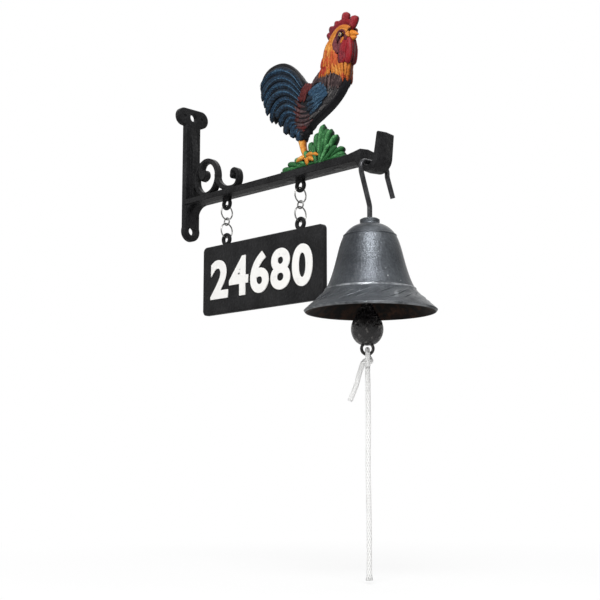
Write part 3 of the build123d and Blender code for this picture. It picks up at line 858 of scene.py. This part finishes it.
hackleSet = {
    "low": strokesBetween(
        [(20.5, 84), (28, 87), (37, 88), (46, 84)],
        [(16.5, 74.5), (22, 73), (28, 74), (34, 74), (39, 71.5), (43.5, 66), (45.5, 63.5)],
        14, 0.6, 0.9,
    ),
    "middle": strokesBetween(
        [(23.5, 94), (30, 97), (37, 92), (45, 86)],
        [(18.5, 80.5), (26, 81), (33, 80.5), (40, 76.5), (46, 71)],
        12, 0.6, 0.9,
    ),
    "high": strokesBetween(
        [(26.5, 103), (31, 106), (34, 101), (37, 93)],
        [(21.5, 87.5), (27.5, 87.5), (33, 86.5), (38.5, 83.5)],
        9, 0.6, 0.8,
    ),
    "cap": [
        [(52, 108.8), (47, 112.8), (39, 112), (32, 106.5), (28.5, 98), (26, 91)],
        [(50.5, 107.4), (46, 111), (40, 110), (34.6, 105), (31.6, 97.5), (31, 90)],
    ],
    "lore": [[(44.5, 108.4), (48.5, 108), (51.5, 105.4)], [(47.4, 106), (50, 105), (51.6, 102.6)]],
    "throat": [
        [(47.6, 90), (46.8, 81), (45.6, 72), (43.4, 64.5)],
        [(45.4, 84), (43.8, 77), (43, 70), (41.8, 65)],
    ],
}
gold = brushFinish(
    "hackle_gold",
    tone(66, 26, 9),
    tone(168, 96, 34),
    tone(194, 136, 65),
    0.0,
    1.4,
    0.4,
    [
        (26, 91, 9.5, tone(149, 51, 28)),
        (33, 87, 9.0, tone(158, 66, 32)),
        (19.5, 81, 7.0, tone(138, 42, 28)),
        (44, 68, 5.0, tone(148, 51, 25)),
    ],
    0.2,
)
plumage(
    "hackles",
    [
        {"strokes": hackleSet["low"], "width": 3.1, "depth": 3.2, "lift": (4.6, 5.1), "step": 0.4},
        {"strokes": hackleSet["middle"], "width": 3.5, "depth": 3.2, "lift": (4.6, 5.6), "step": 0.4},
        {"strokes": hackleSet["high"], "width": 4.1, "depth": 3.2, "lift": (4.5, 5.6), "step": 0.4},
        {"strokes": hackleSet["cap"], "width": 5.2, "depth": 4.0, "lift": (4.0, 4.6), "shape": evenShape},
        {"strokes": hackleSet["lore"], "width": 5.4, "depth": 3.6, "lift": (4.4, 4.0), "shape": bladeShape},
        {"strokes": hackleSet["throat"][:1], "width": 6.0, "depth": 8.6, **through},
        {"strokes": hackleSet["throat"], "width": 4.4, "depth": 4.0, "lift": (3.2, 3.2), "shape": bladeShape},
    ],
    gold,
)

combSet = {
    "lobes": [
        [(30, 108), (26.8, 109), (26.2, 114)],
        [(31.5, 109), (28.4, 113.6), (30, 119)],
        [(37, 112), (34.4, 116), (36.4, 121.8)],
        [(43.5, 112), (43.2, 120), (45.6, 127)],
        [(48, 111), (53.4, 112.5), (55, 121.2)],
    ],
    "ridge": [
        [(27.2, 105), (28.8, 112), (36.5, 117.6), (46, 119.5), (54.4, 111.5)],
        [(30, 109), (35, 114), (44, 116.4), (51.5, 112)],
    ],
}
combRed = brushFinish(
    "comb_crimson",
    tone(53, 9, 14),
    tone(109, 18, 25),
    tone(150, 54, 61),
    0.0,
    1.6,
    0.34,
    [(27.5, 113, 8, tone(90, 23, 34))],
    0.0,
)
plumage(
    "comb",
    [
        {"strokes": combSet["lobes"], "width": 8.6, "depth": 6.6, **through, **rounded},
        {"strokes": combSet["ridge"], "width": 8.6, "depth": 7.0, **through, "shape": bladeShape},
    ],
    combRed,
    14,
)

faceSet = {
    "patch": [
        [(42, 107), (35.4, 103), (36, 95.5), (41.4, 91.2)],
        [(45, 103), (41.4, 98), (42, 91.6)],
    ],
    "brow": [[(37.6, 104.8), (39.8, 109), (45.4, 109.8), (48.6, 106.4), (48.6, 101.4)]],
    "stripe": [[(47.6, 105.6), (48.6, 103), (47.4, 98.5)]],
    "under": [[(46.2, 103), (45.8, 100.2), (43, 98.2)]],
    "dark": [[(40.8, 105.4), (39.6, 103.4), (41, 101)]],
}
faceMaroon = brushFinish("face_maroon", tone(39, 14, 18), tone(79, 28, 33), tone(109, 59, 64), 0.0, 1.4, 0.4)
faceDark = brushFinish("face_dark", tone(31, 15, 20), tone(53, 22, 31), tone(87, 49, 55), 0.0, 1.0, 0.4)
plumage(
    "face",
    [
        {"strokes": faceSet["patch"], "width": 7.6, "depth": 3.0, "lift": (5.0, 5.2), "shape": lobeShape},
        {"strokes": faceSet["brow"], "width": 2.8, "depth": 2.6, "lift": (5.6, 5.4), "shape": bladeShape},
        {"strokes": faceSet["stripe"], "width": 4.6, "depth": 3.4, "lift": (4.6, 4.8), "shape": bladeShape},
    ],
    faceMaroon,
)
darkGroup = {"strokes": faceSet["dark"], "width": 2.8, "depth": 1.8, "lift": (6.0, 6.2)}
underGroup = {"strokes": faceSet["under"], "width": 3.0, "depth": 2.4, "lift": (5.8, 5.9), "shape": lobeShape}
plumage("face_shadow", [darkGroup], faceDark)
plumage("cheek_gold", [underGroup], gold)

wattleSet = {
    "outer": [[(47.5, 100), (45.8, 94), (43.4, 87), (44.6, 80)]],
    "inner": [[(49.4, 102), (50.4, 95), (49.6, 87), (47.2, 79.8)]],
    "middle": [[(49.8, 102.6), (50.2, 94), (48.2, 84)]],
}
wattleRed = brushFinish(
    "wattle_red",
    tone(49, 8, 13),
    tone(116, 15, 24),
    tone(142, 47, 56),
    0.0,
    1.6,
    0.3,
    [(42.6, 87, 8.5, tone(71, 15, 24))],
    0.05,
)
plumage(
    "wattle",
    [
        {"strokes": wattleSet["outer"], "width": 9.2, "depth": 4.2, "lift": (5.2, 5.7), **rounded},
        {"strokes": wattleSet["inner"], "width": 8.4, "depth": 6.4, "lift": (2.8, 3.0), **rounded},
        {"strokes": wattleSet["middle"], "width": 7.0, "depth": 9.4, **through, **rounded},
    ],
    wattleRed,
    14,
)

beakSet = {
    "upper": [[(44.4, 105.4), (52, 107.2), (58.6, 103.6)]],
    "lower": [[(45.5, 102.4), (51, 102.4), (56.6, 102)]],
    "shape": [(0.0, 1.0), (0.4, 0.9), (0.7, 0.6), (0.9, 0.26), (1.0, 0.06)],
}
beakHorn = brushFinish("beak_horn", tone(136, 64, 16), tone(186, 111, 35), tone(203, 144, 74), 0.0, 0.9, 0.32)
plumage(
    "beak",
    [
        {"strokes": beakSet["upper"], "width": 8.2, "depth": 9.2, **through, "shape": beakSet["shape"]},
        {"strokes": beakSet["lower"], "width": 7.0, "depth": 8.6, **through, "shape": beakSet["shape"]},
    ],
    beakHorn,
    14,
)

eyeSet = {
    "spot": (43.4, 105.8),
    "across": 1.9,
    "root": 4.6,
    "rise": 7.0,
    "domeSteps": [(0.7, 0.35), (0.6, 0.12)],
    "pupilEdge": (1.05, 1.25),
    "irisEdge": (1.45, 1.7),
    "iris": (tone(153, 127, 67), tone(187, 166, 102)),
    "pupil": tone(16, 15, 15),
    "lid": tone(42, 22, 20),
}


def eyeFinish():
    material, lead, shader = newFinish("eye_enamel", Coat_Weight=0.2)
    here = onFigure(*eyeSet["spot"])
    x, z = lead.axes(lead.spot())[::2]
    away = lead.sum("SQRT", (x - here.x) * (x - here.x) + (z - here.z) * (z - here.z)) / mm
    speck = lead.noise(1500.0, 2.0)
    edge = away + speck * 0.2
    colour = lead.mix(speck.step(0.35, 0.7), *eyeSet["iris"])
    colour = lead.mix(1 - edge.step(*eyeSet["pupilEdge"]), colour, eyeSet["pupil"])
    colour = lead.mix(edge.step(*eyeSet["irisEdge"]), colour, eyeSet["lid"])
    wearFinish(lead, shader, colour, 0.18 + speck * 0.1)
    return material


bm = bmesh.new()
for side in (-1, 1):
    centre = onFigure(*eyeSet["spot"], side * eyeSet["root"])
    turned = Matrix.Translation(centre) @ Matrix.Rotation(side * -math.pi / 2, 4, "X")
    radius = eyeSet["across"] * mm
    ring = bmesh.ops.create_circle(bm, cap_ends=True, segments=20, radius=radius, matrix=turned)["verts"]
    cap = next(face for face in ring[0].link_faces if set(face.verts) == set(ring))
    lift = Vector((0, side * (eyeSet["rise"] - eyeSet["root"]) * mm, 0))
    raised = bmesh.ops.extrude_discrete_faces(bm, faces=[cap])["faces"]
    bmesh.ops.translate(bm, verts=raised[0].verts, vec=lift)
    for inset, rise in eyeSet["domeSteps"]:
        bmesh.ops.inset_individual(
            bm, faces=raised, thickness=inset * mm, depth=rise * mm, use_even_offset=True
        )
newPiece("cockerel_eyes", bm, eyeFinish(), "bracket")

legSet = {
    "shank": [[(-9.4, 30), (-8.4, 20), (-3.6, 10.5), (-0.4, 3.6)]],
    "toes": [
        [(-2.5, 10), (-7, 9.6), (-12, 6.8)],
        [(-0.5, 8.5), (1.4, 5.4), (1.2, 1.2)],
        [(-0.5, 10.4), (8, 11.4), (15.2, 7.6)],
        [(0.6, 8), (6.4, 7.4), (11.4, 3.4)],
    ],
}
legGold = brushFinish("leg_gold", tone(125, 65, 19), tone(183, 116, 40), tone(204, 154, 78), 14.0, 1.0, 0.36)
legShape = [(0.0, 1.1), (0.4, 0.84), (0.75, 0.9), (1.0, 0.95)]
plumage(
    "leg",
    [
        {"strokes": legSet["shank"], "width": 5.6, "depth": 9.0, **through, "shape": legShape},
        {"strokes": legSet["toes"], "width": 4.6, "depth": 4.4, "lift": (3.4, 5.0), "shape": bladeShape},
    ],
    legGold,
    12,
)

grassSet = {
    "blades": [
        [(14, 0.5), (15, 14), (22, 30)],
        [(13, 0.5), (13, 16), (17.6, 35)],
        [(10, 0.5), (9, 14), (10.4, 29)],
        [(16, 0.5), (19, 14), (26.6, 28.8)],
        [(18, 0.5), (24, 11), (33, 22.6)],
        [(20, 0.5), (29, 6), (40.4, 9.8)],
        [(7, 0.5), (3.5, 11), (3, 22.5)],
        [(22, 0.5), (31, 2.4), (41, 5)],
        [(4, 0.5), (-1, 8), (-3.4, 16)],
    ],
    "front": [
        [(15, 0.5), (16.5, 10), (20.5, 21)],
        [(12, 0.5), (9.4, 9), (8.4, 18)],
        [(19, 0.5), (26, 5.4), (35, 12)],
        [(17, 0.5), (20.4, 7), (27, 15)],
    ],
    "tuft": [
        [(-8, 1.6), (-18, 1.8), (-32, 3.8)],
        [(-6, 2.6), (-15, 5.6), (-25, 7.6)],
        [(-4, 3.6), (-9, 8), (-16, 9.6)],
    ],
    "turf": [[(-31, 1.0), (-10, 2.2), (18, 2.4), (43, 1.2)]],
}
grassGreen = brushFinish(
    "grass_green", tone(9, 28, 15), tone(29, 79, 39), tone(90, 150, 96), 0.0, 1.4, 0.36, (), 0.3
)
plumage(
    "grass",
    [
        {"strokes": grassSet["blades"], "width": 6.0, "depth": 9.4, **through, **rounded},
        {
            "strokes": grassSet["front"],
            "width": 4.8,
            "depth": 4.4,
            "lift": (4.0, 3.6),
            "step": 0.3,
            **rounded,
        },
        {"strokes": grassSet["tuft"], "width": 6.6, "depth": 10.0, **through, **rounded},
        {"strokes": grassSet["turf"], "width": 4.4, "depth": 10.4, **through, "shape": evenShape},
    ],
    grassGreen,
    12,
)
print("cockerel made")


# floor, backdrop and light
stageSet = {
    "floorLow": -0.3662,
    "floorWide": 12.0,
    "floorPale": (0.9, 0.9, 0.9, 1),
    "shadowX": 0.23,
    "shadowReach": (0.05, 0.6),
    "shadowShare": 0.2,
    "aim": (0.15, 0.0, -0.08),
    "key": ((0.85, -0.66, 0.72), 0.8, 20.0),
    "fill": ((-0.3, -1.35, 0.05), 1.2, 4.5),
    "top": ((0.1, 0.35, 1.35), 1.0, 4.0),
    "back": ((-0.5, 0.95, 0.8), 1.2, 3.5),
    "sky": 0.2,
    "snoot": {
        "place": (0.80, -0.63, 0.98),
        "aim": (0.2365, -0.006, -0.124),
        "cone": math.radians(5.0),
        "blend": 0.9,
        "soft": 0.18,
        "power": 3200.0,
    },
}
bm = bmesh.new()
bmesh.ops.create_grid(bm, x_segments=4, y_segments=4, size=stageSet["floorWide"])
bmesh.ops.translate(bm, verts=bm.verts, vec=(0, 0, stageSet["floorLow"]))
floorMesh = bpy.data.meshes.new("floor")
bm.to_mesh(floorMesh)
bm.free()
floor = bpy.data.objects.new("floor", floorMesh)
bpy.context.scene.collection.objects.link(floor)

pale = bpy.data.materials.new("pale_floor")
pale.use_nodes = True
lead = Lead(pale.node_tree)
base = pale.node_tree.nodes["Principled BSDF"]
base.inputs["Base Color"].default_value = stageSet["floorPale"]
base.inputs["Roughness"].default_value = 0.9
base.inputs["Specular IOR Level"].default_value = 0.1
glow = lead.make("ShaderNodeEmission", inputs={"Color": (1, 1, 1, 1), "Strength": 1.0})
x, y = lead.axes(lead.spot())[:2]
dx = x - stageSet["shadowX"]
away = lead.sum("SQRT", dx * dx + y * y)
# the floor glows white to the camera, and shows a faint shadow near the cord
share = stageSet["shadowShare"]
seen = lead.make("ShaderNodeLightPath", out=0) * ((1 - share) + away.step(*stageSet["shadowReach"]) * share)
blend = lead.make("ShaderNodeMixShader", inputs={0: seen, 1: Lead(pale.node_tree, base.outputs[0]), 2: glow})
lead.plug(pale.node_tree.nodes["Material Output"].inputs["Surface"], blend)
floorMesh.materials.append(pale)

world = bpy.data.worlds.new("studio")
bpy.context.scene.world = world
world.use_nodes = True
lead = Lead(world.node_tree)
sky = world.node_tree.nodes["Background"]
sky.inputs["Color"].default_value = (1, 1, 1, 1)
rays = [lead.make("ShaderNodeLightPath", out=i) for i in (0, 3, 6)]
white = lead.sum("MINIMUM", rays[0] + rays[1] + rays[2], 1.0)
lead.plug(sky.inputs["Strength"], stageSet["sky"] + white * (1 - stageSet["sky"]))


def addLamp(name, kind, place, aim, power):
    lamp = bpy.data.lights.new(name, kind)
    lamp.energy = power
    shine = bpy.data.objects.new(name, lamp)
    shine.location = place
    shine.rotation_euler = (Vector(aim) - Vector(place)).to_track_quat("-Z", "Y").to_euler()
    bpy.context.scene.collection.objects.link(shine)
    return shine


for name in ("key", "fill", "top", "back"):
    place, wide, power = stageSet[name]
    addLamp(name, "AREA", place, stageSet["aim"], power).data.size = wide

# narrow lamp that lights only the bell and gives it its long highlight
snoot = stageSet["snoot"]
shine = addLamp("snoot", "SPOT", snoot["place"], snoot["aim"], snoot["power"])
shine.data.spot_size = snoot["cone"]
shine.data.spot_blend = snoot["blend"]
shine.data.shadow_soft_size = snoot["soft"]
lit = bpy.data.collections.new("lit_by_snoot")
for shown in (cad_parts["bell_dome"], bellWreath):
    lit.objects.link(shown)
shine.light_linking.receiver_collection = lit
bpy.context.scene.view_settings.view_transform = "Standard"
print("stage set")
